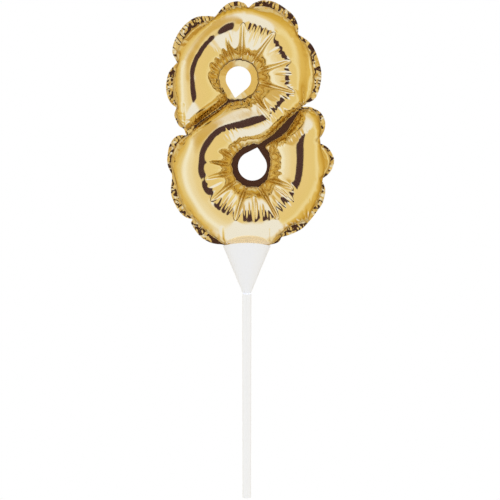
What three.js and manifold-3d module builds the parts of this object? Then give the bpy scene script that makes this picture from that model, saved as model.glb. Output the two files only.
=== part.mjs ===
// A mini foil balloon in the shape of the number 8, standing in a cup on a stick, as a cake topper.
// Millimetres, +Z up. The number reads from the front, which faces -Y. The origin is the flat at the foot of the stick.
// Two foil panels, one the mirror of the other, are welded together on the plane y = 0. The gas fills one S-shaped
// chamber between them, and the gas kit, a burst sachet, lies low in the chamber. The panels end in a welded tail
// that wedges in the cup, and the cup's spigot turns in the stick's socket.

import * as THREE from "three";
import { LoftGeometry } from "three/addons/geometries/LoftGeometry.js";
import { mergeVertices } from "three/addons/utils/BufferGeometryUtils.js";
import Module from "manifold-3d";

const wasm = await Module();
wasm.setup();

// ---------------------------------------------------------------- driving dimensions
const STICK_LENGTH = 107.5;
const STICK_TOP_RADIUS = 2.4;
const STICK_FOOT_RADIUS = 2.2;
const FOOT_FLAT_RADIUS = 1.2;

const CUP_HEIGHT = 26.9; // from the top of the stick to the crown of the front and back walls
const CUP_MOUTH_RADIUS = 13.8;
const CUP_THROAT_RADIUS = 1.95;
const CUP_WALL = 1.0;
const CUP_FLOOR = 3.5; // solid depth above the spigot
const RIM_DIP = 1.4; // how far the rim falls from the front and back crowns to the sides

const SPIGOT_RADIUS = 1.45;
const SPIGOT_LENGTH = 10.0;
const SOCKET_CLEARANCE = 0.1;
const SOCKET_SPARE_DEPTH = 2.0;

const FILM = 0.4; // stands for a 0.03 mm film, which no solid model could carry
const CHAMBER_DEPTH = 12.5; // how far each panel bulges from the weld plane

const TAIL_FOOT = 116.0; // height of the tail's lower end
const TAIL_FOOT_HALF_WIDTH = 1.8;
const TAIL_TOP_HALF_WIDTH = 11.6;
const TAIL_TOP = 133.5; // where the tail leaves the cup's mouth

const SACHET_CENTRE = { x: 0.5, z: 145.0 };
const SACHET_HALF_LENGTH = 8.5;
const SACHET_HALF_HEIGHT = 6.0;
const SACHET_FILM = 0.3;
const SACHET_BULGE = 1.6;
const SACHET_WELD = 1.6;
const SACHET_END_SPAN = 3.0; // how much of each end of the sachet's pillow rounds off
const TEAR_WIDTH = 7.0; // the burst opening in the sachet's top weld
const TEAR_DEPTH = 2.6;

const ROUND_SEGMENTS = 32;
const ARC_SEGMENTS = 6; // facets along each lobe of the outline
const SECTIONS_PER_SPAN = 2; // sections between one station of a pillow and the next
const DOME_FACETS = 8; // facets across a pillow
const END_ANGLES = [8, 30, 55]; // where a pillow's rounded ends have their sections, in degrees from the tip

const CUP_BASE = STICK_LENGTH;
const CUP_TOP = CUP_BASE + CUP_HEIGHT;

// The weld lines at the chamber's two edges, from the upper hook's end, over the top, down the diagonal and round to
// the lower hook's end. Each station is [x, z] on the first edge, then [x, z] on the second. The first edge passes
// the upper hole and then becomes the outer edge of the lower loop. The first and last spans are the rounded ends.
const CHAMBER = [
  [-10.2, 210.2, -30.8, 194.9],
  [-14.6, 216.4, -35.4, 205.2],
  [-15.4, 221.8, -38.6, 218.2],
  [-13.4, 227.4, -35.2, 232.4],
  [-9.0, 231.0, -24.4, 249.2],
  [-3.2, 231.9, -2.6, 256.4],
  [2.6, 229.4, 19.4, 250.2],
  [6.2, 224.0, 33.0, 236.2],
  [6.2, 218.0, 36.6, 220.8],
  [3.4, 213.0, 31.6, 208.6],
  [-1.4, 209.9, 21.6, 200.2],
  [-8.4, 208.7, 13.4, 191.8],
  [-16.2, 203.2, 6.2, 187.0],
  [-24.2, 197.3, -1.6, 185.4],
  [-30.4, 190.2, -6.3, 182.0],
  [-37.2, 178.6, -8.9, 175.6],
  [-36.4, 164.2, -7.8, 169.8],
  [-27.2, 149.8, -4.0, 165.2],
  [-13.8, 138.0, 0.4, 163.4],
  [1.8, 134.0, 4.4, 163.4],
  [17.2, 139.0, 8.8, 165.1],
  [30.2, 149.4, 12.4, 168.8],
  [37.2, 162.4, 14.0, 173.8],
  [39.2, 177.2, 14.0, 180.0],
  [37.6, 190.0, 17.4, 189.2],
  [38.4, 196.6, 22.4, 196.6],
  [35.6, 202.8, 27.8, 203.8],
];

// Outer edge of the foil, clockwise from the notch at the top. Each entry is a notch, [x, z], and how far the lobe
// that follows it bulges past the straight line to the next notch.
const RIGHT_NOTCHES = [
  [0.8, 258.5, 9.6],
  [27.0, 244.5, 9.2],
  [31.2, 207.6, 0.0],
  [29.4, 205.4, 8.0],
  [37.0, 187.6, 7.6],
  [39.0, 168.2, 4.6],
  [33.4, 146.5, 1.6],
  [18.6, 137.5, 0.9],
  [14.8, 134.4, 0.0],
];
const LEFT_NOTCHES = [
  [-14.8, 134.2, 3.0],
  [-28.4, 146.8, 5.0],
  [-39.3, 170.2, 6.4],
  [-31.7, 190.8, 0.0],
  [-31.0, 193.4, 3.2],
  [-37.0, 205.8, 5.8],
  [-36.2, 229.5, 9.4],
  [-16.9, 253.5, 5.1],
];

// The two holes of the 8, each round and running out to a point.
const HOLES = [
  { x: -4.4, z: 220.9, radius: 6.7, tipX: -6.2, tipZ: 211.1 },
  { x: 2.5, z: 174.7, radius: 7.4, tipX: 5.4, tipZ: 185.2 },
];

// ---------------------------------------------------------------- solids
// A closed three.js geometry as a manifold-3d solid.
function toSolid(geometry) {
  const bare = new THREE.BufferGeometry();
  bare.setAttribute("position", geometry.getAttribute("position"));
  bare.setIndex(geometry.getIndex());
  const merged = mergeVertices(bare, 1e-4);
  return new wasm.Manifold(
    new wasm.Mesh({
      numProp: 3,
      vertProperties: merged.getAttribute("position").array,
      triVerts: new Uint32Array(merged.index.array),
    }),
  );
}

// A manifold-3d solid as a three.js geometry.
function toGeometry(solid) {
  const mesh = solid.getMesh();
  const geometry = new THREE.BufferGeometry();
  geometry.setAttribute("position", new THREE.BufferAttribute(mesh.vertProperties, 3));
  geometry.setIndex(new THREE.BufferAttribute(mesh.triVerts, 1));
  geometry.computeVertexNormals();
  return geometry;
}

// A shape drawn in x and z, as a slab from y = back to y = back - thickness.
function slab(shape, thickness, back = 0) {
  const geometry = new THREE.ExtrudeGeometry(shape, {
    depth: thickness,
    bevelEnabled: false,
    curveSegments: ARC_SEGMENTS,
  });
  return toSolid(geometry.rotateX(Math.PI / 2).translate(0, back, 0));
}

// A profile of [radius, height] pairs turned about the Z axis.
function turned(profile) {
  const points = profile.map(([radius, height]) => new THREE.Vector2(radius, height));
  return toSolid(new THREE.LatheGeometry(points, ROUND_SEGMENTS).rotateX(Math.PI / 2));
}

// ---------------------------------------------------------------- foil
// Where a pillow's sections stand, in stations, with how high each stands as a share of full height. The sections
// crowd together in the first and last spans, where the ends round off. inset starts the ends that much further in.
function pillowSections(spans, inset) {
  const ends = END_ANGLES.map((degrees) => THREE.MathUtils.degToRad(degrees));
  const sections = ends.map((angle) => [inset + (1 - inset) * (1 - Math.cos(angle)), Math.sin(angle)]);
  const count = (spans - 2) * SECTIONS_PER_SPAN;
  for (let i = 0; i <= count; i++) {
    sections.push([1 + i / SECTIONS_PER_SPAN, 1]);
  }
  for (const angle of ends.reverse()) {
    sections.push([spans - inset - (1 - inset) * (1 - Math.cos(angle)), Math.sin(angle)]);
  }
  return sections;
}

// The D-shaped solid that a pillow of film encloses on one side of the weld plane: a half ellipse spanning its two
// weld lines, with rounded ends. inset shrinks it all round, and lap carries its back past the weld plane.
function dome(stations, depth, inset, lap) {
  const first = new THREE.CatmullRomCurve3(stations.map(([x, z]) => new THREE.Vector3(x, 0, z)));
  const second = new THREE.CatmullRomCurve3(stations.map(([, , x, z]) => new THREE.Vector3(x, 0, z)));
  const spans = stations.length - 1;
  const endSpan = first.getPoint(0).distanceTo(first.getPoint(1 / spans));
  const rings = [];
  for (const [station, rise] of pillowSections(spans, inset / endSpan)) {
    const from = first.getPoint(station / spans);
    const to = second.getPoint(station / spans);
    const halfWidth = from.distanceTo(to) / 2 - inset;
    const across = to.clone().sub(from).normalize();
    const centre = from.add(to).divideScalar(2);
    const bulge = Math.min(depth - inset, halfWidth) * rise;
    const ring = [];
    for (let j = 0; j <= DOME_FACETS; j++) {
      const angle = (Math.PI * j) / DOME_FACETS;
      const onWeldPlane = j === 0 || j === DOME_FACETS;
      const point = centre.clone().addScaledVector(across, halfWidth * Math.cos(angle));
      ring.push(point.setY(onWeldPlane ? 0 : -bulge * Math.sin(angle)));
    }
    if (lap > 0) {
      ring.push(ring[DOME_FACETS].clone().setY(lap), ring[0].clone().setY(lap));
    }
    rings.push(ring);
  }
  return toSolid(new LoftGeometry(rings, { capStart: true, capEnd: true }));
}

// A sheet of film: flat where it is welded, domed over its pillow.
function filmSheet(outline, pillow, depth, film) {
  const outside = dome(pillow, depth, 0, 0);
  const inside = dome(pillow, depth, film, 1);
  return slab(outline, film).add(outside).subtract(inside);
}

// The foil's outline, with its scalloped edge, its tail and its two holes.
function foilOutline() {
  const shape = new THREE.Shape();
  shape.moveTo(RIGHT_NOTCHES[0][0], RIGHT_NOTCHES[0][1]);
  lobesAlong(shape, RIGHT_NOTCHES);
  shape.lineTo(TAIL_TOP_HALF_WIDTH, TAIL_TOP);
  shape.lineTo(TAIL_FOOT_HALF_WIDTH, TAIL_FOOT);
  shape.lineTo(-TAIL_FOOT_HALF_WIDTH, TAIL_FOOT);
  shape.lineTo(-TAIL_TOP_HALF_WIDTH, TAIL_TOP);
  shape.lineTo(LEFT_NOTCHES[0][0], LEFT_NOTCHES[0][1]);
  lobesAlong(shape, [...LEFT_NOTCHES, RIGHT_NOTCHES[0]]);
  shape.holes.push(...HOLES.map(holePath));
  return shape;
}

// One lobe of the scalloped edge between each notch and the next.
function lobesAlong(shape, notches) {
  for (let i = 1; i < notches.length; i++) {
    const [fromX, fromZ, bulge] = notches[i - 1];
    const [x, z] = notches[i];
    const outward = new THREE.Vector2(fromZ - z, x - fromX).normalize();
    const controlX = (x + fromX) / 2 + 2 * bulge * outward.x;
    const controlZ = (z + fromZ) / 2 + 2 * bulge * outward.y;
    shape.quadraticCurveTo(controlX, controlZ, x, z);
  }
}

// A round hole whose edge leaves the circle on the two tangents that meet at the tip.
function holePath({ x, z, radius, tipX, tipZ }) {
  const towards = Math.atan2(tipZ - z, tipX - x);
  const spread = Math.acos(radius / Math.hypot(tipX - x, tipZ - z));
  const path = new THREE.Path();
  path.absarc(x, z, radius, towards + spread, towards - spread + 2 * Math.PI, false);
  path.lineTo(tipX, tipZ);
  path.closePath();
  return path;
}

function foilPanel() {
  return filmSheet(foilOutline(), CHAMBER, CHAMBER_DEPTH, FILM);
}

// One film of the sachet: a small pillow with a welded border, torn open along its top.
function sachetFilm() {
  const { x, z } = SACHET_CENTRE;
  const right = x + SACHET_HALF_LENGTH;
  const left = x - SACHET_HALF_LENGTH;
  const top = z + SACHET_HALF_HEIGHT;
  const shape = new THREE.Shape();
  shape.moveTo(left, z - SACHET_HALF_HEIGHT);
  shape.lineTo(right, z - SACHET_HALF_HEIGHT);
  shape.lineTo(right, top);
  shape.lineTo(x + TEAR_WIDTH / 2, top);
  shape.quadraticCurveTo(x, top - 2 * TEAR_DEPTH, x - TEAR_WIDTH / 2, top);
  shape.lineTo(left, top);
  shape.closePath();
  const weldTop = top - SACHET_WELD;
  const weldBottom = z - SACHET_HALF_HEIGHT + SACHET_WELD;
  const ends = [left + SACHET_WELD, right - SACHET_WELD];
  const columns = [ends[0], ends[0] + SACHET_END_SPAN, ends[1] - SACHET_END_SPAN, ends[1]];
  const pillow = columns.map((column) => [column, weldBottom, column, weldTop]);
  return filmSheet(shape, pillow, SACHET_BULGE, SACHET_FILM).intersect(slab(shape, 2 * SACHET_BULGE));
}

// ---------------------------------------------------------------- holder
// The cup: a cone whose rim rises at the front and back, with a spigot below.
function cup() {
  const innerThroat = CUP_THROAT_RADIUS - CUP_WALL / 2;
  const cone = turned([
    [0, CUP_BASE - SPIGOT_LENGTH],
    [SPIGOT_RADIUS - 0.3, CUP_BASE - SPIGOT_LENGTH],
    [SPIGOT_RADIUS, CUP_BASE - SPIGOT_LENGTH + 0.8],
    [SPIGOT_RADIUS, CUP_BASE],
    [CUP_THROAT_RADIUS, CUP_BASE],
    [CUP_MOUTH_RADIUS, CUP_TOP],
    [CUP_MOUTH_RADIUS - CUP_WALL, CUP_TOP],
    [innerThroat, CUP_BASE + CUP_FLOOR],
    [0, CUP_BASE + CUP_FLOOR],
  ]);
  const wide = CUP_MOUTH_RADIUS + 1;
  const dip = RIM_DIP * (wide / CUP_MOUTH_RADIUS) ** 2;
  const above = new THREE.Shape();
  above.moveTo(-wide, CUP_TOP + 1);
  above.lineTo(-wide, CUP_TOP - dip);
  above.quadraticCurveTo(0, CUP_TOP + dip, wide, CUP_TOP - dip);
  above.lineTo(wide, CUP_TOP + 1);
  above.closePath();
  return cone.subtract(slab(above, 2 * wide, wide));
}

// The stick: a tapered pin with a rounded foot and a blind socket at the top.
function stick() {
  const socketRadius = SPIGOT_RADIUS + SOCKET_CLEARANCE;
  const socketFloor = STICK_LENGTH - SPIGOT_LENGTH - SOCKET_SPARE_DEPTH;
  const edge = STICK_FOOT_RADIUS - FOOT_FLAT_RADIUS;
  return turned([
    [0, 0],
    [FOOT_FLAT_RADIUS, 0],
    [FOOT_FLAT_RADIUS + 0.7 * edge, 0.3 * edge],
    [STICK_FOOT_RADIUS, edge],
    [STICK_TOP_RADIUS, STICK_LENGTH],
    [socketRadius, STICK_LENGTH],
    [socketRadius, socketFloor],
    [0, socketFloor],
  ]);
}

// ---------------------------------------------------------------- assembly
const foil = new THREE.MeshStandardMaterial({ color: 0xd9a93c, metalness: 1.0, roughness: 0.15 });
const clearFilm = new THREE.MeshStandardMaterial({ color: 0xe8ecee, metalness: 0.0, roughness: 0.2 });
const whitePlastic = new THREE.MeshStandardMaterial({ color: 0xf1f1ef, metalness: 0.0, roughness: 0.45 });

function piece(name, solid, material) {
  const mesh = new THREE.Mesh(toGeometry(solid), material);
  mesh.name = name;
  return mesh;
}

const balloon = new THREE.Group();
const backPanel = piece("back_foil_panel", foilPanel(), foil);
backPanel.scale.y = -1;
const sachetBack = piece("sachet_back_film", sachetFilm(), clearFilm);
sachetBack.scale.y = -1;
balloon.add(
  piece("front_foil_panel", foilPanel(), foil),
  backPanel,
  piece("sachet_front_film", sachetFilm(), clearFilm),
  sachetBack,
);

const holder = new THREE.Group();
holder.add(piece("balloon_cup", cup(), whitePlastic), piece("stick", stick(), whitePlastic));

const topper = new THREE.Group();
topper.add(balloon, holder);

export default topper;
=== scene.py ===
"""The look of a gold foil number balloon on its cup and stick: inflated film, crinkled welds and a studio."""
import math

import bpy
import numpy as np
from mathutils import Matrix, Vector, noise
from mathutils.geometry import delaunay_2d_cdt
from mathutils.kdtree import KDTree


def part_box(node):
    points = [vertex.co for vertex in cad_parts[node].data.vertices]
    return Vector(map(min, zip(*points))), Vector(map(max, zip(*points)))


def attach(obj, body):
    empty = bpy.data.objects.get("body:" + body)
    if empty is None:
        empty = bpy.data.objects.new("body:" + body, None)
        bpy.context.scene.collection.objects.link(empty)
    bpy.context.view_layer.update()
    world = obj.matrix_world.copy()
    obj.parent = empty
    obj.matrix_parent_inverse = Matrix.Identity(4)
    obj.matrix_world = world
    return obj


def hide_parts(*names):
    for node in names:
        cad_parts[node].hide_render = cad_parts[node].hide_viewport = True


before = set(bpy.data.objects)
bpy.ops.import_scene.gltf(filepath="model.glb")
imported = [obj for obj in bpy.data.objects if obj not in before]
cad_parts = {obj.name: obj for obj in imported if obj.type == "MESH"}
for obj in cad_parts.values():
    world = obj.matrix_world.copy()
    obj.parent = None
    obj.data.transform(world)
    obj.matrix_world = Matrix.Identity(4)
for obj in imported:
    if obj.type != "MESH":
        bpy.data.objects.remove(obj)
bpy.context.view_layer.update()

MM = 0.001
STICK = np.array(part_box("stick"))
CUP = np.array(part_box("balloon_cup"))
SACHET = np.array(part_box("sachet_front_film"))
ORIGIN = np.array([STICK[:, 0].mean(), STICK[:, 1].mean(), STICK[0, 2]])

# ---------------------------------------------------------------- the foil's drawing
# Millimetres, x to the right and z up from the foot of the stick. Each lobe of the scalloped outline starts
# at its notch, clockwise, with the width of its welded flange at the crown.
UPPER_LOBES = [
    (1.4, [(-31.8, 191.0), (-33.2, 194.5), (-35.6, 196.0), (-37.8, 200.3), (-38.2, 202.5)]),
    (4.0, [(-37.0, 205.8), (-39.6, 207.7), (-41.7, 211.3), (-42.6, 217.0), (-41.4, 223.4), (-39.3, 226.8)]),
    (4.6, [(-36.7, 229.5), (-39.3, 235.5), (-37.2, 242.9), (-32.5, 249.6), (-26.0, 253.6), (-18.1, 253.9)]),
    (3.0, [(-16.9, 253.5), (-11.5, 259.6), (-5.6, 261.8), (-1.5, 260.8)]),
    (3.9, [(0.8, 258.5), (4.5, 261.2), (10.5, 262.4), (17.5, 260.0), (24.4, 254.5), (27.0, 249.0)]),
    (4.3, [(27.0, 244.5), (34.4, 238.7), (38.6, 228.2), (39.2, 220.3), (36.5, 211.3)]),
]
RIGHT_WAIST = (31.3, 207.6)
LOWER_RIGHT_LOBES = [
    (1.8, [(29.1, 206.1), (33.4, 206.1), (38.6, 203.4), (41.3, 198.5), (40.6, 193.0)]),
    (2.2, [(37.0, 187.6), (42.5, 184.8), (45.8, 179.5), (45.4, 174.5), (42.5, 170.2)]),
    (3.0, [(39.2, 168.1), (41.4, 162.5), (40.1, 155.8), (37.3, 151.5), (34.9, 148.2)]),
    (4.6, [(33.1, 146.0), (29.7, 142.4), (26.0, 140.2), (22.2, 138.6)]),
    (2.0, [(18.3, 137.5), (17.0, 135.1), (14.6, 134.0)]),
]
TAIL = [(13.2, 133.7), (11.6, 133.3), (1.8, 116.0), (-1.8, 116.0), (-11.6, 133.3)]
LOWER_LEFT_LOBES = [
    (4.4, [(-13.7, 133.7), (-16.3, 133.9), (-19.9, 134.9), (-24.1, 137.5), (-27.2, 141.2), (-29.4, 145.0)]),
    (3.8, [(-28.4, 146.8), (-32.6, 148.2), (-36.2, 151.9), (-39.3, 158.1), (-40.0, 162.3), (-39.6, 166.5)]),
    (3.4, [(-39.3, 170.2), (-41.8, 176.0), (-41.4, 183.2), (-40.0, 187.4), (-37.2, 190.6), (-33.8, 191.3)]),
]
NOTCH_INSET = 1.0  # the weld's width at a notch

# The two holes of the 8, with their tips and the radius out to which the ring round each is welded flat.
HOLES = [
    {"centre": np.array([-4.4, 220.9]), "radius": 6.7, "tip": np.array([-6.2, 210.9]), "weld": 10.8},
    {"centre": np.array([3.0, 174.9]), "radius": 7.6, "tip": np.array([5.6, 184.8]), "weld": 11.4},
]


def on_weld_ring(hole, degrees, narrower=0.0):
    turn = math.radians(degrees)
    return tuple(hole["centre"] + (hole["weld"] - narrower) * np.array([math.cos(turn), math.sin(turn)]))


# The chamber is an S-shaped tube between two weld lines: edge A passes the upper hole and then becomes the
# lower loop's outer edge, and edge B is the upper loop's outer edge and then passes the lower hole.
UPPER, LOWER = HOLES
STATIONS = [
    ((-10.2, 210.2), (-31.2, 194.4)),
    (on_weld_ring(UPPER, 204.9), (-36.0, 205.6)),
    (on_weld_ring(UPPER, 165.1), (-35.5, 229.2)),
    (on_weld_ring(UPPER, 111.0), (-16.4, 252.0)),
    (on_weld_ring(UPPER, 82.1), (0.7, 257.0)),
    (on_weld_ring(UPPER, 36.9), (26.0, 243.6)),
    (on_weld_ring(UPPER, -20.4), (30.6, 208.4)),
    ((-1.4, 209.9), (21.6, 200.2)),
    ((-8.4, 208.7), (13.4, 191.8)),
    ((-16.2, 203.2), (6.2, 187.0)),
    ((-24.2, 197.3), (-1.6, 185.4)),
    ((-31.2, 190.4), on_weld_ring(LOWER, 155.0)),
    ((-38.2, 170.4), on_weld_ring(LOWER, 186.5)),
    ((-27.6, 147.8), on_weld_ring(LOWER, 222.7)),
    ((-12.6, 134.6), on_weld_ring(LOWER, 248.7)),
    ((0.0, 131.8), on_weld_ring(LOWER, 267.0)),
    ((17.6, 138.5), on_weld_ring(LOWER, 293.4)),
    ((32.3, 146.8), on_weld_ring(LOWER, 317.0, 0.6)),
    ((38.2, 168.1), on_weld_ring(LOWER, 349.6, 1.9)),
    ((36.1, 187.6), (10.0, 184.6)),
    ((38.4, 197.6), (20.4, 191.8)),
    ((33.0, 205.2), (28.2, 204.0)),
]
RING_SPANS = {"A": (0, 8, UPPER), "B": (9, 19, LOWER)}  # where each edge goes round a hole
STRAIGHT_SPANS = {"A": (8, 11), "B": (6, 9)}  # where each edge runs straight along the diagonal


def backwards(lobe):
    """A lobe's width and its points after the notch, in the order in which edge A meets them."""
    width, points = lobe
    return width, points[:0:-1]


# The lobes that each edge passes, by the span between stations.
SEAM_LOBES = {
    "A": {
        11: backwards(LOWER_LEFT_LOBES[2]),
        12: backwards(LOWER_LEFT_LOBES[1]),
        13: backwards(LOWER_LEFT_LOBES[0]),
        14: (0.0, [(-8.0, 132.6), (-4.0, 132.0)]),
        15: (0.0, [(5.0, 132.0), (10.0, 132.9), (14.4, 135.0)]),
        16: backwards(LOWER_RIGHT_LOBES[3]),
        17: backwards(LOWER_RIGHT_LOBES[2]),
        18: backwards(LOWER_RIGHT_LOBES[1]),
        19: (1.8, [(40.6, 193.0)]),
        20: (1.8, [(38.6, 203.4)]),
    },
    "B": {span: (width, points[1:]) for span, (width, points) in enumerate(UPPER_LOBES)},
}

# Where the longest creases leave the rings, and how far they run.
CREASES = [
    ((-3.0, 232.5), (-3.0, 247.7)),
    ((3.8, 230.2), (14.9, 242.4)),
    ((6.4, 224.5), (23.9, 224.5)),
    ((7.1, 217.7), (20.2, 210.3)),
    ((3.9, 209.7), (9.6, 200.3)),
    ((-12.0, 232.0), (-18.3, 240.3)),
    ((-9.0, 181.8), (-22.0, 184.5)),
    ((-9.1, 171.7), (-24.6, 168.1)),
    ((-6.9, 166.4), (-18.3, 154.4)),
    ((-1.5, 163.7), (-5.6, 145.5)),
    ((6.9, 163.4), (16.5, 149.1)),
    ((13.3, 168.6), (24.4, 170.2)),
]
CREASE_DEPTH = 1.6
CREASE_WIDTH = 1.3

# Short sharp folds where the film is nipped.
NIPS = [
    ((-12.8, 136.0), (-12.8, 142.0)),
    ((12.5, 136.0), (12.5, 142.0)),
    ((-33.2, 206.5), (-33.0, 196.0)),
    ((-37.0, 205.8), (-33.2, 206.5)),
]
NIP_HEIGHT = 0.4
NIP_WIDTH = 0.6

PER_SPAN = 48  # samples of a weld line between two stations
MESH = 0.8  # distance between the film's mesh points
WIDEN = 1.48  # how much wider the flat film is than the inflated tube
RING_EXCESS = 0.15  # share of extra film round the rings, which gathers into radial creases
RING_WAVER = 0.5  # how far the ring welds waver in and out
UPPER_DISH = 1.9  # how deep the ring round the upper hole is dished
HALF_GAP = 0.03  # half the gap between two films at their weld
# How far from the rings the creases run, in millimetres of flat film, by station.
PLEAT_REACH = [(0, 2), (1, 7), (2.9, 8), (3.8, 22), (6.6, 24), (8, 6), (9.2, 2)]
PLEAT_REACH += [(10.4, 6), (11.6, 15), (13.2, 23), (17, 24), (18, 9), (18.7, 4), (19.4, 2)]

BULGE = 12.0  # the most that the film's start shape stands out of the weld plane
STEPS = 1300  # steps of the simulation
PRESSURE = 0.002  # speed, in millimetres a step, that the gas adds to an average point in each step
STIFFNESS = 0.09  # share of its error that a bending pair loses at every second step
KEPT_SPEED = 0.985  # share of its speed that the film keeps in a step
RESTING_SPEED = 0.95  # the same in the last fifth of the steps, where the film comes to rest


# ---------------------------------------------------------------- curves
def spline(points, per_span):
    """A Catmull-Rom curve through the points."""
    points = np.asarray(points, float)
    ends = np.vstack([2 * points[0] - points[1], points, 2 * points[-1] - points[-2]])
    t = np.linspace(0, 1, per_span, endpoint=False)[:, None]
    parts = []
    for p0, p1, p2, p3 in zip(ends, ends[1:], ends[2:], ends[3:]):
        parts.append(
            p1
            + 0.5 * (p2 - p0) * t
            + 0.5 * (2 * p0 - 5 * p1 + 4 * p2 - p3) * t**2
            + 0.5 * (3 * p1 - p0 - 3 * p2 + p3) * t**3
        )
    return np.vstack(parts + [points[-1:]])


def respace(curve, count):
    """The curve as that many points, evenly spaced."""
    along = lengths(curve)
    even = np.linspace(0, along[-1], count)
    return np.c_[np.interp(even, along, curve[:, 0]), np.interp(even, along, curve[:, 1])]


def lengths(curve):
    """How far along the curve each of its points is."""
    return np.r_[0, np.cumsum(np.linalg.norm(np.diff(curve, axis=0), axis=1))]


def smooth_step(x, start, end):
    t = np.clip((x - start) / (end - start), 0, 1)
    return t * t * (3 - 2 * t)


def smoothed(curve, sigma):
    """The curve under a Gaussian, with its ends kept."""
    reach = 3 * sigma
    weights = np.exp(-0.5 * (np.arange(-reach, reach + 1) / sigma) ** 2)
    weights /= weights.sum()
    before = 2 * curve[0] - curve[reach:0:-1]
    after = 2 * curve[-1] - curve[-2 : -reach - 2 : -1]
    padded = np.vstack([before, curve, after])
    return np.stack([np.convolve(column, weights, "valid") for column in padded.T], axis=1)


def weld_line(edge):
    """One edge of the chamber as evenly sampled points, PER_SPAN of them to a span."""
    points = np.array([station["AB".index(edge)] for station in STATIONS], float)
    line = spline(points, PER_SPAN)
    first, last, hole = RING_SPANS[edge]
    out = points[first : last + 1] - hole["centre"]
    polar = np.c_[np.linalg.norm(out, axis=1), np.unwrap(np.arctan2(out[:, 1], out[:, 0]))]
    radius, turn = spline(polar, PER_SPAN).T
    radius = radius + [RING_WAVER * noise.noise(Vector((math.cos(t), math.sin(t), 0.4)) * 6.0) for t in turn]
    ring = np.c_[radius * np.cos(turn), radius * np.sin(turn)]
    line[first * PER_SPAN : last * PER_SPAN + 1] = hole["centre"] + ring
    first, last = STRAIGHT_SPANS[edge]
    straight = respace(points[first : last + 1], (last - first) * PER_SPAN + 1)
    line[first * PER_SPAN : last * PER_SPAN + 1] = straight
    centre = (LOWER if edge == "A" else UPPER)["centre"]
    for span, (width, lobe) in SEAM_LOBES[edge].items():
        lobe = np.array(lobe)
        towards = centre - lobe
        towards /= np.linalg.norm(towards, axis=1)[:, None]
        share = np.sin(np.pi * np.arange(1, len(lobe) + 1) / (len(lobe) + 1))
        inset = np.where(width > 0, NOTCH_INSET + (width - NOTCH_INSET) * share, 0.0)
        lobe = np.vstack([points[span], lobe + towards * inset[:, None], points[span + 1]])
        line[span * PER_SPAN : (span + 1) * PER_SPAN + 1] = respace(spline(lobe, 12), PER_SPAN + 1)
    return line


def at(curve, station):
    """The curve's points at these stations."""
    place = np.clip(station * PER_SPAN, 0, len(curve) - 1)
    low = np.minimum(place.astype(int), len(curve) - 2)
    part = (place - low)[:, None]
    return curve[low] * (1 - part) + curve[low + 1] * part


def inside(polygon, points):
    """Which points lie inside the closed polygon."""
    x, z = points.T
    found = np.zeros(len(points), bool)
    for (x0, z0), (x1, z1) in zip(polygon, np.roll(polygon, -1, axis=0)):
        crosses = (z0 > z) != (z1 > z)
        if crosses.any():
            found[crosses] ^= x[crosses] < (x1 - x0) * (z[crosses] - z0) / (z1 - z0) + x0
    return found


def nearest(points):
    """A lookup of the nearest of these points."""
    tree = KDTree(len(points))
    for index, (x, z) in enumerate(points):
        tree.insert((x, z, 0), index)
    tree.balance()
    return tree


def filling(low, high, spacing, rng):
    """Points in staggered rows over a box, a little shaken so that no row shows."""
    rows = []
    for row, z in enumerate(np.arange(low[1], high[1], spacing * math.sqrt(3) / 2)):
        x = np.arange(low[0] + spacing / 2 * (row % 2), high[0], spacing)
        rows.append(np.c_[x, np.full(len(x), z)])
    points = np.vstack(rows)
    return points + rng.normal(0, 0.06 * spacing, points.shape)


def away_from(points, tree, distance):
    return points[[tree.find((x, z, 0))[2] > distance for x, z in points]]


def triangulate(points, loops):
    """Triangles over points between closed loops of point indices. Returns (points, triangles, index of each
    input point)."""
    borders = [(a, b) for loop in loops for a, b in zip(loop, np.roll(loop, -1))]
    borders = [(int(a), int(b)) for a, b in borders]
    found = delaunay_2d_cdt([Vector(p) for p in points], borders, [], 1, 1e-4)
    placed, _, faces, sources = found[:4]
    source = np.full(len(points), -1)
    for index, originals in enumerate(sources):
        source[originals] = index
    placed = np.array([(v[0], v[1]) for v in placed])
    faces = np.array(faces)
    corner = placed[faces]
    a, b = corner[:, 1] - corner[:, 0], corner[:, 2] - corner[:, 0]
    turned = a[:, 0] * b[:, 1] < a[:, 1] * b[:, 0]
    return placed, np.where(turned[:, None], faces[:, ::-1], faces), source


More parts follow.
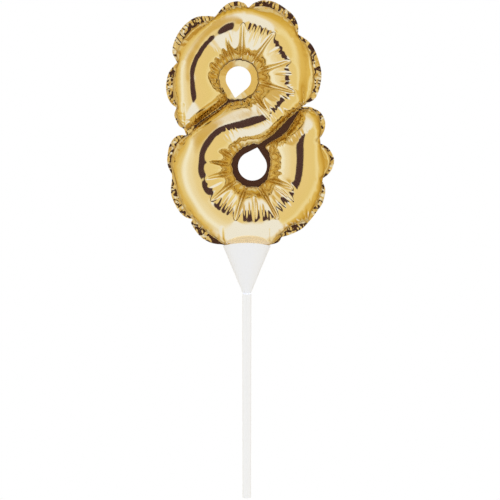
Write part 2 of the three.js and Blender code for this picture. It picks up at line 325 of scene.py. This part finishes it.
# ---------------------------------------------------------------- the inflated film
class Film:
    """The chamber's front film: a flat mesh, and where its welded border is held on the weld plane."""

    def __init__(self):
        self.a, self.b = weld_line("A"), weld_line("B")
        self.last = (len(self.a) - 1) / PER_SPAN
        self.lay_flat()
        self.mesh()
        self.find_stations()

    def lay_flat(self):
        """The flat pattern's two edges: the tube, opened out wider than it stands when it is inflated."""
        middle = smooth_step(np.arange(len(self.a)) / PER_SPAN, 6.3, 10.6)[:, None]
        outer_a, outer_b = np.clip(2 * middle, 0, 1), np.clip(2 - 2 * middle, 0, 1)
        self.mean_a = self.a * (1 - outer_a) + smoothed(self.a, 22) * outer_a
        self.mean_b = self.b * (1 - outer_b) + smoothed(self.b, 22) * outer_b
        fold = self.mean_a + middle * (self.mean_b - self.mean_a)
        apart = LOWER["centre"] - UPPER["centre"]
        gap = np.linalg.norm(apart) - UPPER["weld"] - LOWER["weld"]
        shift = apart / np.linalg.norm(apart) * (gap * (WIDEN - 1) + 2.5) * middle
        self.flat_a = fold + WIDEN * (self.mean_a - fold) + shift
        self.flat_b = fold + WIDEN * (self.mean_b - fold) + shift

    def mesh(self):
        """Fills the flat pattern with points and triangles. The points of its border are held."""
        loop = []
        for curve, across in ((self.flat_a, 0.0), (self.flat_b, 1.0)):
            along = lengths(curve)
            count = round(along[-1] / MESH)
            stations = np.arange(len(curve)) / PER_SPAN
            even = np.interp(np.linspace(0, along[-1], count + 1), along, stations)
            side = np.c_[even, np.full(count + 1, across)]
            end = self.last if across == 0 else 0.0
            mouth = at(self.flat_a, np.array([end])) - at(self.flat_b, np.array([end]))
            cap = round(np.linalg.norm(mouth) / MESH)
            steps = np.arange(1, cap) / cap
            if across == 0:
                loop += [side, np.c_[np.full(cap - 1, end), steps]]
            else:
                loop += [side[::-1], np.c_[np.full(cap - 1, end), 1 - steps]]
        self.border = np.vstack(loop)
        flat_border = self.place(self.flat_a, self.flat_b, self.border)
        grid = filling(flat_border.min(0), flat_border.max(0), MESH, np.random.default_rng(8))
        grid = away_from(grid[inside(flat_border, grid)], nearest(flat_border), 0.62 * MESH)
        points = np.vstack([flat_border, grid])
        self.flat, self.triangles, source = triangulate(points, [np.arange(len(flat_border))])
        self.border_index = source[: len(flat_border)]
        self.held = np.zeros(len(self.flat), bool)
        self.held[self.border_index] = True

    @staticmethod
    def place(a, b, stations):
        """Points between two edges, at (station, share across)."""
        across = stations[:, 1:]
        return at(a, stations[:, 0]) * (1 - across) + at(b, stations[:, 0]) * across

    def find_stations(self):
        """The (station, share across) of every point of the flat mesh, by Newton's method from a nearby
        guess."""
        coarse = np.arange(0, len(self.a), 3) / PER_SPAN
        shares = np.linspace(0, 1, 41)
        guesses = np.array([(s, t) for s in coarse for t in shares])
        tree = nearest(self.place(self.flat_a, self.flat_b, guesses))
        self.station = guesses[[tree.find((x, z, 0))[1] for x, z in self.flat]]
        for _ in range(6):
            s, t = self.station.T
            miss = self.flat - self.place(self.flat_a, self.flat_b, self.station)
            along = self.along(s, t)
            across = at(self.flat_b, s) - at(self.flat_a, s)
            cross = along[:, 0] * across[:, 1] - along[:, 1] * across[:, 0]
            cross = np.where(np.abs(cross) < 1e-6, 1e-6, cross)
            move_s = (miss[:, 0] * across[:, 1] - miss[:, 1] * across[:, 0]) / cross
            move_t = (along[:, 0] * miss[:, 1] - along[:, 1] * miss[:, 0]) / cross
            s = np.clip(s + np.clip(move_s, -0.2, 0.2), 0, self.last)
            self.station = np.c_[s, np.clip(t + np.clip(move_t, -0.2, 0.2), 0, 1)]
        self.station[self.border_index] = self.border

    def along(self, s, t):
        """How the flat film's points move per station along the tube."""
        half = 0.5 / PER_SPAN
        low, high = np.clip(s - half, 0, self.last), np.clip(s + half, 0, self.last)
        ends = [self.place(self.flat_a, self.flat_b, np.c_[x, t]) for x in (low, high)]
        return (ends[1] - ends[0]) / (high - low)[:, None]

    def arch(self, a, b):
        """The film as a plain arch from weld line to weld line, with rounded ends."""
        s, t = self.station.T
        from_a, from_b = at(a, s), at(b, s)
        swing = (1 - np.cos(np.pi * t))[:, None] / 2
        x, z = (from_a * (1 - swing) + from_b * swing).T
        start, end = 1 - np.clip(s, 0, 1), 1 - np.clip((self.last - s) / 1.5, 0, 1)
        rise = np.sqrt(1 - start**2) * np.sqrt(1 - end**2)
        half_width = np.linalg.norm(from_b - from_a, axis=1) / 2
        return np.c_[x, -np.minimum(BULGE, 1.05 * half_width) * rise * np.sin(np.pi * t), z]

    def pairs(self):
        """The mesh's edges, and the two points opposite each inner edge."""
        sides = np.vstack([self.triangles[:, [0, 1]], self.triangles[:, [1, 2]], self.triangles[:, [2, 0]]])
        opposite = np.r_[self.triangles[:, 2], self.triangles[:, 0], self.triangles[:, 1]]
        sides.sort(axis=1)
        key = sides[:, 0] * len(self.flat) + sides[:, 1]
        order = np.argsort(key, kind="stable")
        again = np.flatnonzero(np.diff(key[order]) == 0) + 1
        first = np.delete(order, again)
        return sides[first], np.c_[opposite[order][again - 1], opposite[order][again]]

    def rest_lengths(self, pairs):
        """How long the film is between each pair: the flat pattern's length, drawn in where the tube must
        stay smooth on the diagonal and let out along the rings, where film gathers."""
        s, t = self.station.T
        step = self.flat[pairs[:, 0]] - self.flat[pairs[:, 1]]
        flat_length = np.linalg.norm(step, axis=1)
        smooth = self.arch(self.mean_a, self.mean_b)
        arch_length = np.linalg.norm(smooth[pairs[:, 0]] - smooth[pairs[:, 1]], axis=1)
        width = np.linalg.norm(at(self.flat_b, s) - at(self.flat_a, s), axis=1)
        reach = np.interp(s, *np.transpose(PLEAT_REACH))
        from_ring = np.where(s < 9.2, t, 1 - t) * width
        slack = 1 - smooth_step(from_ring, 0.6 * reach, 1.15 * reach)
        taut = 0.85 - 0.70 * slack
        excess = RING_EXCESS * slack
        along = self.along(s, t)
        along /= np.linalg.norm(along, axis=1)[:, None]
        fields = (taut, excess, along)
        taut, excess, along = ((field[pairs[:, 0]] + field[pairs[:, 1]]) / 2 for field in fields)
        length = flat_length * (1 - taut) + arch_length * taut
        aligned = np.einsum("ij,ij->i", step, along) / flat_length
        return length * np.sqrt(1 + ((1 + excess) ** 2 - 1) * aligned**2)

    def normals(self, points):
        """Area-weighted normals at the points."""
        a, b, c = (points[self.triangles[:, k]] for k in range(3))
        share = np.repeat(np.cross(b - a, c - a) / 6, 3, axis=0)
        corners = self.triangles.ravel()
        return np.stack([np.bincount(corners, column, len(points)) for column in share.T], axis=1)

    def grooved(self, points):
        """The start shape with a groove along each of the long creases that leave the rings."""
        points = points.copy()
        for start, end in CREASES:
            along, off = beside(points, start, end)
            depth = CREASE_DEPTH * np.exp(-((off / CREASE_WIDTH) ** 2))
            points[:, 1] += depth * np.clip(1 - along / 1.15, 0, 1)
        points[:, 1] += np.random.default_rng(3).normal(0, 0.05, len(points))
        points[:, 1] = np.where(self.held, 0.0, np.minimum(points[:, 1], -0.02))
        return points

    def inflate(self):
        """Blows the film up: gas pressure against edges that keep their length, and a little bending
        stiffness. The border stays on the weld plane, and the film can't pass through the plane to the back
        film."""
        points = self.grooved(self.arch(self.a, self.b))
        free = np.where(self.held, 0.0, 1.0)
        edges, hinges = self.pairs()
        edges = edges[free[edges].any(axis=1)]
        hinges = hinges[free[hinges].any(axis=1)]
        stretch = batches(edges, self.rest_lengths(edges), free)
        bend = batches(hinges, self.rest_lengths(hinges), free)
        speed = np.zeros_like(points)
        mean_area = np.linalg.norm(self.normals(points), axis=1).mean()
        for step in range(STEPS):
            if step % 4 == 0:
                push = self.normals(points) / mean_area * free[:, None]
            progress = step / STEPS
            speed *= KEPT_SPEED if progress < 0.8 else RESTING_SPEED
            eased = 1.0 if progress < 0.7 else 0.5
            before = points.copy()
            points = points + speed * free[:, None] + PRESSURE * eased * push
            pull(points, stretch, 1.0)
            if step % 2 == 0:
                pull(points, bend, STIFFNESS)
            points[:, 1] = np.minimum(points[:, 1], 0)
            speed = points - before
        return points


def batches(pairs, rest, free):
    """The pairs in groups in which no point comes twice, each with its rest lengths and each end's share of
    the movement."""
    used = np.zeros(free.shape, object)
    group = np.zeros(len(pairs), int)
    for index, (a, b) in enumerate(pairs.tolist()):
        taken = used[a] | used[b]
        while taken >> int(group[index]) & 1:
            group[index] += 1
        used[a] |= 1 << int(group[index])
        used[b] |= 1 << int(group[index])
    found = []
    for number in range(group.max() + 1):
        chosen = group == number
        a, b = pairs[chosen].T
        total = free[a] + free[b]
        found.append((a, b, rest[chosen], (free[a] / total)[:, None], (free[b] / total)[:, None]))
    return found


def pull(points, groups, strength):
    """Moves each pair of points towards its rest length."""
    for a, b, rest, share_a, share_b in groups:
        gap = points[a] - points[b]
        length = np.sqrt(np.einsum("ij,ij->i", gap, gap))
        gap *= (strength * (length - rest) / length)[:, None]
        points[a] -= share_a * gap
        points[b] += share_b * gap


def beside(points, start, end):
    """How far along the line from start to end each point is, as a share of it, and how far off it."""
    start, run = np.array(start), np.array(end) - np.array(start)
    along = np.clip((points[:, [0, 2]] - start) @ run / (run @ run), 0, 1)
    return along, np.linalg.norm(points[:, [0, 2]] - start - along[:, None] * run, axis=1)


# ---------------------------------------------------------------- the welded flange
def outline():
    """The foil's outer edge, with its lobes and tail, as one closed loop."""
    lobes = [lobe for _, lobe in UPPER_LOBES] + [[RIGHT_WAIST]]
    lobes += [lobe for _, lobe in LOWER_RIGHT_LOBES]
    lobes += [TAIL] + [lobe for _, lobe in LOWER_LEFT_LOBES]
    parts = []
    for lobe, following in zip(lobes, lobes[1:] + lobes[:1]):
        points = np.array(list(lobe) + [following[0]])
        curve = points if lobe is TAIL or len(lobe) == 1 else spline(points, 12)
        parts.append(respace(curve, max(2, round(lengths(curve)[-1] / 0.7) + 1))[:-1])
    return np.vstack(parts)


def hole_edge(hole):
    """A circle whose edge leaves it on the two tangents that meet at the tip."""
    towards = hole["tip"] - hole["centre"]
    reach = np.linalg.norm(towards)
    heading = math.atan2(towards[1], towards[0])
    spread = math.acos(hole["radius"] / reach)
    turn = np.linspace(heading + spread, heading - spread + 2 * math.pi, 56)
    arc = hole["centre"] + hole["radius"] * np.c_[np.cos(turn), np.sin(turn)]
    sides = respace(np.vstack([arc[-1], hole["tip"], arc[0]]), 21)
    return np.vstack([arc, sides[1:-1]])


def whole_sheet(film, inflated):
    """The front panel: the inflated film joined to the flat flange, ring welds, webs and tail round it.
    Returns (points, triangles, each point's distance from the weld line, which is positive on the flange, and
    its distance from the outer edge)."""
    seam = inflated[film.border_index][:, [0, 2]]
    edge = outline()
    holes = [hole_edge(hole) for hole in HOLES]
    border = np.vstack([seam, edge] + holes)
    grid = filling(edge.min(0), edge.max(0), MESH, np.random.default_rng(5))
    grid = grid[inside(edge, grid) & ~inside(seam, grid)]
    for hole in holes:
        grid = grid[~inside(hole, grid)]
    grid = away_from(grid, nearest(border), 0.5)
    counts = np.cumsum([0, len(seam), len(edge)] + [len(hole) for hole in holes])
    loops = [np.arange(a, b) for a, b in zip(counts, counts[1:])]
    placed, faces, source = triangulate(np.vstack([border, grid]), loops)
    middle = placed[faces].mean(axis=1)
    kept = inside(edge, middle) & ~inside(seam, middle)
    for hole in holes:
        kept &= ~inside(hole, middle)
    target = np.arange(len(placed)) + len(inflated)
    target[source[: len(seam)]] = film.border_index
    flange = np.c_[placed[:, 0], np.zeros(len(placed)), placed[:, 1]]
    points = np.vstack([inflated, flange])
    triangles = np.vstack([film.triangles, target[faces[kept]]])
    used, triangles = np.unique(triangles, return_inverse=True)
    points = points[used]
    apart = distance_to(seam, points)
    apart[used < len(inflated)] *= -1
    return points, triangles.reshape(-1, 3), apart, distance_to(edge, points)


def distance_to(line, points):
    tree = nearest(line)
    return np.array([tree.find((x, z, 0))[2] for x, _, z in points])


def crinkle(points, apart, from_edge):
    """How far the crushed weld waves out of its plane, which both panels share: strongest at the flange's
    free edge, fading out over the first few millimetres of the inflated film. Returns (wave, how strong it
    is)."""
    on_flange = 0.55 + 0.45 * smooth_step(apart, 0.0, 3.0)
    on_film = 0.55 * (1 - smooth_step(-apart, 0.0, 4.5))
    strength = np.where(apart > 0, on_flange, on_film)
    centres = [np.linalg.norm(points[:, [0, 2]] - hole["centre"], axis=1) for hole in HOLES]
    pressed = smooth_step(from_edge, 4.0, 8.0) * smooth_step(apart, -4.5, 0.3)
    in_cup = 1 - smooth_step(points[:, 2], 134.5, 138.0)
    strength *= (1 - 0.9 * pressed) * (1 - 0.7 * in_cup)
    wave = np.empty(len(points))
    for index, (x, _, z) in enumerate(points):
        hole = HOLES[int(centres[0][index] > centres[1][index])]
        out = np.array([x, z]) - hole["centre"]
        radius = np.hypot(*out)
        around = out / radius * (38.0 if radius > 20 else 12.0)
        pleat = noise.noise(Vector((*around / 2.0, radius / 6.0)))
        fold = noise.noise(Vector((x, z, 7.0)) / 3.4)
        pinch = abs(noise.noise(Vector((x, z, 31.0)) / 2.4)) - 0.25
        wave[index] = 0.8 * pleat + 0.6 * fold - 0.7 * pinch
    dish = UPPER_DISH * smooth_step(centres[0], 3.0, 13.5) * (1 - smooth_step(centres[0], 13.5, 30.0))
    nips = sum(np.exp(-((beside(points, start, end)[1] / NIP_WIDTH) ** 2)) for start, end in NIPS)
    return 0.95 * strength * wave + dish + NIP_HEIGHT * nips, strength


# ---------------------------------------------------------------- meshes
def add_mesh(name, points, faces):
    mesh = bpy.data.meshes.new(name)
    mesh.from_pydata(points.tolist(), [], faces if isinstance(faces, list) else faces.tolist())
    mesh.validate()
    mesh.shade_smooth()
    made = bpy.data.objects.new(name, mesh)
    bpy.context.scene.collection.objects.link(made)
    return made


def in_row(points):
    """Millimetres from the foot of the stick, as metres in the row."""
    return ORIGIN + MM * np.asarray(points, float)


def finish_piece(piece, material, body, node):
    piece.data.materials.append(material)
    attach(piece, body)
    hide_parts(node)


def add_foil(material):
    film = Film()
    points, triangles, apart, from_edge = whole_sheet(film, film.inflate())
    wave, crush = crinkle(points, apart, from_edge)
    # Masks for painted light in the foil's colour: the deeper gold painted on the welds, the painted glints
    # and shade of the crushed weld, and the painted crease shadow along the seam.
    welded = smooth_step(apart, -0.6, 0.6)
    shades = {"weld": welded, "crush": crush * welded, "seam": np.exp(-((apart / 0.45) ** 2))}
    for side, name, node in ((1, "foil_front", "front_foil_panel"), (-1, "foil_back", "back_foil_panel")):
        panel = points.copy()
        panel[:, 1] = side * (points[:, 1] - HALF_GAP) + wave
        piece = add_mesh(name, in_row(panel), triangles[:, ::side])
        for label, values in shades.items():
            shade = piece.data.attributes.new(label, "FLOAT", "POINT")
            shade.data.foreach_set("value", values.astype(np.float32))
        smooth = piece.modifiers.new("smooth", "SUBSURF")
        smooth.levels = smooth.render_levels = 1
        finish_piece(piece, material, "balloon", node)


def turned(name, profile_at, segments=96):
    """A closed surface of revolution about the row's Z axis. profile_at(turn) gives [radius, height] pairs in
    metres from axis to axis, and may change with the turn."""
    rings = []
    for turn in np.linspace(0, 2 * math.pi, segments, endpoint=False):
        rings.append([(r * math.cos(turn), r * math.sin(turn), z) for r, z in profile_at(turn)])
    rings = np.array(rings) + [ORIGIN[0], ORIGIN[1], 0]
    count = rings.shape[1]
    inner = rings[:, 1:-1].reshape(-1, 3)
    points = np.vstack([inner, rings[0, 0], rings[0, -1]])
    bottom, top = len(inner), len(inner) + 1
    faces = []
    for s in range(segments):
        this, after = s * (count - 2), (s + 1) % segments * (count - 2)
        faces.append((bottom, after, this))
        for k in range(count - 3):
            faces.append((this + k, after + k, after + k + 1, this + k + 1))
        faces.append((top, this + count - 3, after + count - 3))
    return add_mesh(name, points, faces)


def rounded(corner_a, corner, corner_b, radius, steps=5):
    """A corner of a profile, cut back by radius along both sides and rounded."""
    a, c, b = (np.array(p, float) for p in (corner_a, corner, corner_b))
    start = c + (a - c) * radius / np.linalg.norm(a - c)
    end = c + (b - c) * radius / np.linalg.norm(b - c)
    t = np.linspace(0, 1, steps)[:, None]
    return [tuple(p) for p in (1 - t) ** 2 * start + 2 * t * (1 - t) * c + t**2 * end]


def add_cup(material):
    spigot_foot, crown = CUP[0, 2], CUP[1, 2]
    mouth = (CUP[1, 0] - CUP[0, 0]) / 2
    base = STICK[1, 2]
    throat, spigot, wall, floor, dip = (x * MM for x in (1.95, 1.45, 1.0, 3.5, 1.4))

    def profile(turn):
        rim = crown - dip * math.cos(turn) ** 2
        lean = (mouth - throat) / (crown - base)
        outer = throat + lean * (rim - base)
        inner = outer - wall
        inner_foot = throat - wall / 2
        lip = rounded((throat, base), (outer, rim), (inner, rim), 0.35 * MM)
        lip += rounded((outer, rim), (inner, rim), (inner_foot, base + floor), 0.35 * MM)
        foot = rounded((0, spigot_foot), (spigot, spigot_foot), (spigot, base), 0.4 * MM)
        rise = [(throat + lean * (z - base), z) for z in np.linspace(base, rim, 14)[:-1]]
        down = np.linspace(0, 1, 10)[1:]
        fall = [(inner + (inner_foot - inner) * k, rim + (base + floor - rim) * k) for k in down]
        below = [(0, spigot_foot)] + foot + [(spigot, base - 0.02 * MM)]
        return below + rise + lip + fall + [(0, base + floor)]

    cup = turned("cup_shell", profile)
    finish_piece(cup, material, "cup", "balloon_cup")


def add_stick(material):
    foot, top = STICK[0, 2], STICK[1, 2]
    radius = (STICK[1, 0] - STICK[0, 0]) / 2
    tip, flat, socket, depth = (x * MM for x in (2.2, 1.2, 1.55, 12.0))
    shoulder = foot + tip * 0.6
    body = [(tip + (radius - tip) * k, shoulder + (top - shoulder) * k) for k in np.linspace(0, 1, 24)]
    nose = rounded((flat, foot), (tip, foot), body[0], 0.9 * MM, 8)
    rim = rounded(body[-2], body[-1], (socket, top), 0.25 * MM)
    bore = [(socket, top), (socket, top - depth), (0, top - depth)]
    profile = [(0, foot), (flat, foot)] + nose + body[1:-1] + rim + bore
    stick = turned("stick_shaft", lambda turn: profile)
    finish_piece(stick, material, "stick", "stick")


def add_sachet(material):
    """The burst sachet: two crumpled films with a crimped border and a torn mouth."""
    low, high = SACHET[0], SACHET[1]
    columns, rows = 72, 52
    across = np.linspace(low[0], high[0], columns)
    up = np.linspace(low[2], high[2], rows)
    border, bulge = 1.6 * MM, 0.9 * (high[1] - low[1])
    middle, tear_width, tear_depth = across.mean(), 3.5 * MM, 2.4 * MM
    torn_from = low[2] + 0.7 * (high[2] - low[2])
    points, wave = [], []
    for z in up:
        for x in across:
            mouth = 1 - abs(x - middle) / tear_width
            top = z - tear_depth * max(0.0, mouth) ** 0.7 * smooth_step(z, torn_from, high[2])
            edge = min(x - low[0], high[0] - x, z - low[2], high[2] - z)
            swell = smooth_step(edge, border, 3.2 * border)
            crush = noise.noise(Vector((x, z, 0.02)) / (1.9 * MM))
            crimp = 0.05 * MM * math.sin(x / (0.25 * MM)) * (1 - swell)
            points.append((x, -bulge * swell * (0.75 + 0.25 * crush), top))
            wave.append(crimp + 0.12 * MM * crush)
    points, wave = np.array(points), np.array(wave)
    faces = []
    for row in range(rows - 1):
        for column in range(columns - 1):
            corner = row * columns + column
            faces.append((corner, corner + 1, corner + columns + 1, corner + columns))
    films = ((1, "sachet_front", "sachet_front_film"), (-1, "sachet_back", "sachet_back_film"))
    for side, name, node in films:
        sheet = points.copy()
        sheet[:, 1] = ORIGIN[1] + side * (points[:, 1] - HALF_GAP * MM) + wave
        piece = add_mesh(name, sheet, [face[::side] for face in faces])
        finish_piece(piece, material, "sachet", node)


# ---------------------------------------------------------------- materials
def new_material(name):
    material = bpy.data.materials.new(name)
    material.use_nodes = True
    tree = material.node_tree
    return material, tree.nodes, tree.links, tree.nodes["Principled BSDF"]


def noise_node(nodes, links, vector, scale, detail=2.0):
    texture = nodes.new("ShaderNodeTexNoise")
    texture.inputs["Scale"].default_value = scale
    texture.inputs["Detail"].default_value = detail
    links.new(vector, texture.inputs["Vector"])
    return texture.outputs["Fac"]


def attribute_node(nodes, name):
    attribute = nodes.new("ShaderNodeAttribute")
    attribute.attribute_name = name
    return attribute.outputs["Fac"]


def feed(links, socket, value):
    """Sets a socket to a number or a colour, or links it to another socket."""
    if isinstance(value, (int, float)):
        socket.default_value = value
    elif isinstance(value, tuple):
        socket.default_value = (*value, 1)
    else:
        links.new(value, socket)


def colour_mix(nodes, links, factor, first, second):
    mix = nodes.new("ShaderNodeMix")
    mix.data_type = "RGBA"
    for socket, value in zip((mix.inputs[0], mix.inputs[6], mix.inputs[7]), (factor, first, second)):
        feed(links, socket, value)
    return mix.outputs[2]


def gold_foil():
    """Metallised film under a golden lacquer: mirror bright, with a deeper gold painted on the welds in place
    of their darker reflection, a painted crease shadow along the seam, and painted glints and shade where the
    weld is crushed into crinkles too fine for the mesh. Where foil mirrors foil the colour is deeper and
    yellower, because plain gold on gold comes out too orange."""
    material, nodes, links, shader = new_material("gold_foil")
    place = nodes.new("ShaderNodeTexCoord").outputs["Object"]
    weld, crush = attribute_node(nodes, "weld"), attribute_node(nodes, "crush")
    depth = nodes.new("ShaderNodeMath")
    depth.operation = "MULTIPLY_ADD"
    depth.inputs[1].default_value, depth.inputs[2].default_value = 0.2, 0.02
    links.new(crush, depth.inputs[0])
    bump = nodes.new("ShaderNodeBump")
    bump.inputs["Distance"].default_value = 0.12 * MM
    links.new(depth.outputs["Value"], bump.inputs["Strength"])
    links.new(noise_node(nodes, links, place, 900.0, 3.0), bump.inputs["Height"])
    links.new(bump.outputs["Normal"], shader.inputs["Normal"])
    clouded = noise_node(nodes, links, place, 45.0)
    glint = nodes.new("ShaderNodeMapRange")
    glint.inputs["From Min"].default_value, glint.inputs["From Max"].default_value = 0.35, 0.65
    links.new(noise_node(nodes, links, place, 800.0), glint.inputs["Value"])
    film = colour_mix(nodes, links, clouded, (0.89, 0.71, 0.37), (0.91, 0.75, 0.43))
    # Painted shade: the welded rings and flange get a deeper gold in place of the darker reflection they
    # show.
    film = colour_mix(nodes, links, weld, film, (0.82, 0.60, 0.24))
    # Painted shade and painted glints: dark brown strokes and bright gold cells stand in for how light falls
    # on crinkles too fine for the mesh.
    fold_shade_and_glints = colour_mix(nodes, links, glint.outputs["Result"], (0.60, 0.38, 0.10), (0.93, 0.75, 0.40))
    film = colour_mix(nodes, links, crush, film, fold_shade_and_glints)
    # Painted shadow: a dark brown line along the weld seam, where the crease is shaded.
    film = colour_mix(nodes, links, attribute_node(nodes, "seam"), film, (0.50, 0.31, 0.09))
    again = nodes.new("ShaderNodeLightPath").outputs["Is Glossy Ray"]
    links.new(colour_mix(nodes, links, again, film, (0.77, 0.61, 0.27)), shader.inputs["Base Color"])
    shader.inputs["Metallic"].default_value = 1.0
    shader.inputs["Roughness"].default_value = 0.09
    return material


def white_plastic(name, colour, roughness):
    """Moulded white plastic with a faint sheen and a slightly uneven skin. It glows a little for every ray
    but the camera's own, so that the foil over the cup mirrors something bright."""
    material, nodes, links, shader = new_material(name)
    place = nodes.new("ShaderNodeTexCoord").outputs["Object"]
    duller = tuple(0.97 * c for c in colour)
    skin = colour_mix(nodes, links, noise_node(nodes, links, place, 60.0), colour, duller)
    links.new(skin, shader.inputs["Base Color"])
    bump = nodes.new("ShaderNodeBump")
    bump.inputs["Strength"].default_value = 0.15
    bump.inputs["Distance"].default_value = 0.05 * MM
    links.new(noise_node(nodes, links, place, 1400.0), bump.inputs["Height"])
    links.new(bump.outputs["Normal"], shader.inputs["Normal"])
    shader.inputs["Roughness"].default_value = roughness
    shader.inputs["Emission Color"].default_value = (0.85, 0.95, 1.3, 1)
    unseen = nodes.new("ShaderNodeMath")
    unseen.operation = "MULTIPLY_ADD"
    unseen.inputs[1].default_value, unseen.inputs[2].default_value = -0.45, 0.45
    links.new(nodes.new("ShaderNodeLightPath").outputs["Is Camera Ray"], unseen.inputs[0])
    links.new(unseen.outputs["Value"], shader.inputs["Emission Strength"])
    material.cycles.emission_sampling = "NONE"
    return material


def clear_film():
    """The sachet's milky film."""
    material, nodes, links, shader = new_material("sachet_film")
    place = nodes.new("ShaderNodeTexCoord").outputs["Object"]
    clouded = noise_node(nodes, links, place, 300.0, 4.0)
    milky = colour_mix(nodes, links, clouded, (0.78, 0.82, 0.85), (0.93, 0.95, 0.96))
    links.new(milky, shader.inputs["Base Color"])
    shader.inputs["Roughness"].default_value = 0.22
    shader.inputs["Transmission Weight"].default_value = 0.35
    return material


# ---------------------------------------------------------------- studio
# What the foil mirrors to its left, to its right, above and below: each from behind the foil, at 0, round to
# the camera, at 1.
SURROUNDINGS = [
    [
        (0.0, (0.88, 0.86, 0.80)),
        (0.1, (0.50, 0.33, 0.07)),
        (0.24, (0.76, 0.58, 0.20)),
        (0.42, (0.84, 0.75, 0.45)),
        (0.62, (0.99, 1.08, 1.30)),
        (0.8, (0.92, 0.91, 0.85)),
        (0.95, (0.88, 0.81, 0.60)),
    ],
    [
        (0.0, (0.80, 0.68, 0.40)),
        (0.1, (0.36, 0.22, 0.03)),
        (0.24, (0.62, 0.41, 0.08)),
        (0.42, (0.79, 0.62, 0.22)),
        (0.56, (0.93, 0.90, 0.70)),
        (0.72, (0.86, 0.77, 0.46)),
        (0.94, (0.87, 0.77, 0.48)),
    ],
    [
        (0.0, (0.90, 0.88, 0.84)),
        (0.1, (0.30, 0.18, 0.03)),
        (0.2, (0.57, 0.38, 0.07)),
        (0.38, (0.73, 0.54, 0.13)),
        (0.5, (0.86, 0.76, 0.48)),
        (0.65, (0.95, 1.07, 1.50)),
    ],
    [
        (0.0, (0.76, 0.61, 0.34)),
        (0.2, (0.89, 0.86, 0.78)),
        (0.4, (0.95, 1.08, 1.55)),
    ],
]
GREY = [(0.0, (0, 0, 0)), (1.0, (1, 1, 1))]
TURN_OVER = 2.5  # how sharply one side's surroundings give way to the opposite side's
SHADE_COLOUR = (0.68, 0.50, 0.14)
GAP_COLOUR = (0.075, 0.042, 0.06)


def add_studio():
    """A white table and backdrop, and the surroundings that the foil mirrors: bright and warm all round, with
    a golden shaded patch and one dark gap on the camera's side."""
    table = add_mesh(
        "table",
        np.array([(-9, -9, 0), (9, -9, 0), (9, 9, 0), (-9, 9, 0)], float) + [0, 0, ORIGIN[2] - 0.2 * MM],
        [(0, 1, 2, 3)],
    )
    material, nodes, links, _ = new_material("table")
    glow = nodes.new("ShaderNodeEmission")
    glow.inputs["Color"].default_value = (1, 1, 1, 1)
    links.new(glow.outputs["Emission"], nodes["Material Output"].inputs["Surface"])
    material.cycles.emission_sampling = "NONE"
    table.data.materials.append(material)
    table.visible_glossy = False

    world = bpy.data.worlds.new("studio")
    bpy.context.scene.world = world
    world.use_nodes = True
    nodes, links = world.node_tree.nodes, world.node_tree.links
    split = nodes.new("ShaderNodeSeparateXYZ")
    links.new(nodes.new("ShaderNodeTexCoord").outputs["Generated"], split.inputs["Vector"])
    x, y, z = split.outputs

    def math_node(operation, first, second=0.0, third=0.0):
        made = nodes.new("ShaderNodeMath")
        made.operation = operation
        for socket, value in zip(made.inputs, (first, second, third)):
            feed(links, socket, value)
        return made.outputs["Value"]

    def ramp_node(value, stops):
        made = nodes.new("ShaderNodeValToRGB")
        ramp = made.color_ramp
        ramp.interpolation = "EASE"
        while len(ramp.elements) < len(stops):
            ramp.elements.new(0.5)
        for element, (position, colour) in zip(ramp.elements, stops):
            element.position = position
            element.color = (*colour, 1)
        links.new(value, made.inputs["Fac"])
        return made.outputs["Color"]

    def mix_node(factor, first, second):
        return colour_mix(nodes, links, factor, first, second)

    def patch_node(centre_x, centre_z, half_width, half_height, stops):
        """An elliptical patch on the camera's side."""
        wide = math_node("MULTIPLY_ADD", x, 1 / half_width, -centre_x / half_width)
        high = math_node("MULTIPLY_ADD", z, 1 / half_height, -centre_z / half_height)
        far = math_node("ADD", math_node("MULTIPLY", wide, wide), math_node("MULTIPLY", high, high))
        within = ramp_node(math_node("MULTIPLY", far, 0.5), stops)
        return math_node("MULTIPLY", within, math_node("LESS_THAN", y, 0.0))

    ahead = math_node("MULTIPLY_ADD", y, -0.5, 0.5)
    left, right, above, below = (ramp_node(ahead, stops) for stops in SURROUNDINGS)
    side = mix_node(ramp_node(math_node("MULTIPLY_ADD", x, TURN_OVER, 0.5), GREY), left, right)
    upright = mix_node(ramp_node(math_node("MULTIPLY_ADD", z, TURN_OVER, 0.5), GREY), below, above)
    lean = math_node("MULTIPLY_ADD", math_node("ABSOLUTE", x), -1.0, math_node("ABSOLUTE", z))
    steep = ramp_node(lean, [(0.0, (0, 0, 0)), (0.35, (1, 1, 1))])
    surround = mix_node(steep, side, upright)
    shade = patch_node(-0.46, 0.64, 0.36, 0.36, [(0.1, (0.9, 0.9, 0.9)), (0.8, (0, 0, 0))])
    gap = patch_node(0.0, 0.12, 0.25, 0.42, [(0.42, (1, 1, 1)), (0.60, (0, 0, 0))])
    mirrored = mix_node(shade, surround, SHADE_COLOUR)
    mirrored = mix_node(gap, mirrored, GAP_COLOUR)
    path = nodes.new("ShaderNodeLightPath")
    seen = mix_node(path.outputs["Is Glossy Ray"], (1.0, 1.0, 1.0), mirrored)
    links.new(seen, nodes["Background"].inputs["Color"])


def add_camera():
    camera = bpy.data.cameras.new("camera")
    camera.lens = 100
    camera.sensor_width = 36
    camera.clip_end = 50
    placed = bpy.data.objects.new("camera", camera)
    aside, away, up = 1.7 * MM, -0.732, 130.7 * MM
    placed.location = ORIGIN + [aside, away, up]
    placed.rotation_euler = (math.pi / 2, 0, 0)
    bpy.context.scene.collection.objects.link(placed)
    bpy.context.scene.camera = placed


add_foil(gold_foil())
add_cup(white_plastic("cup_plastic", (0.86, 0.855, 0.845), 0.45))
add_stick(white_plastic("stick_plastic", (0.90, 0.895, 0.885), 0.35))
add_sachet(clear_film())
add_studio()
add_camera()
bpy.context.scene.view_settings.view_transform = "Standard"
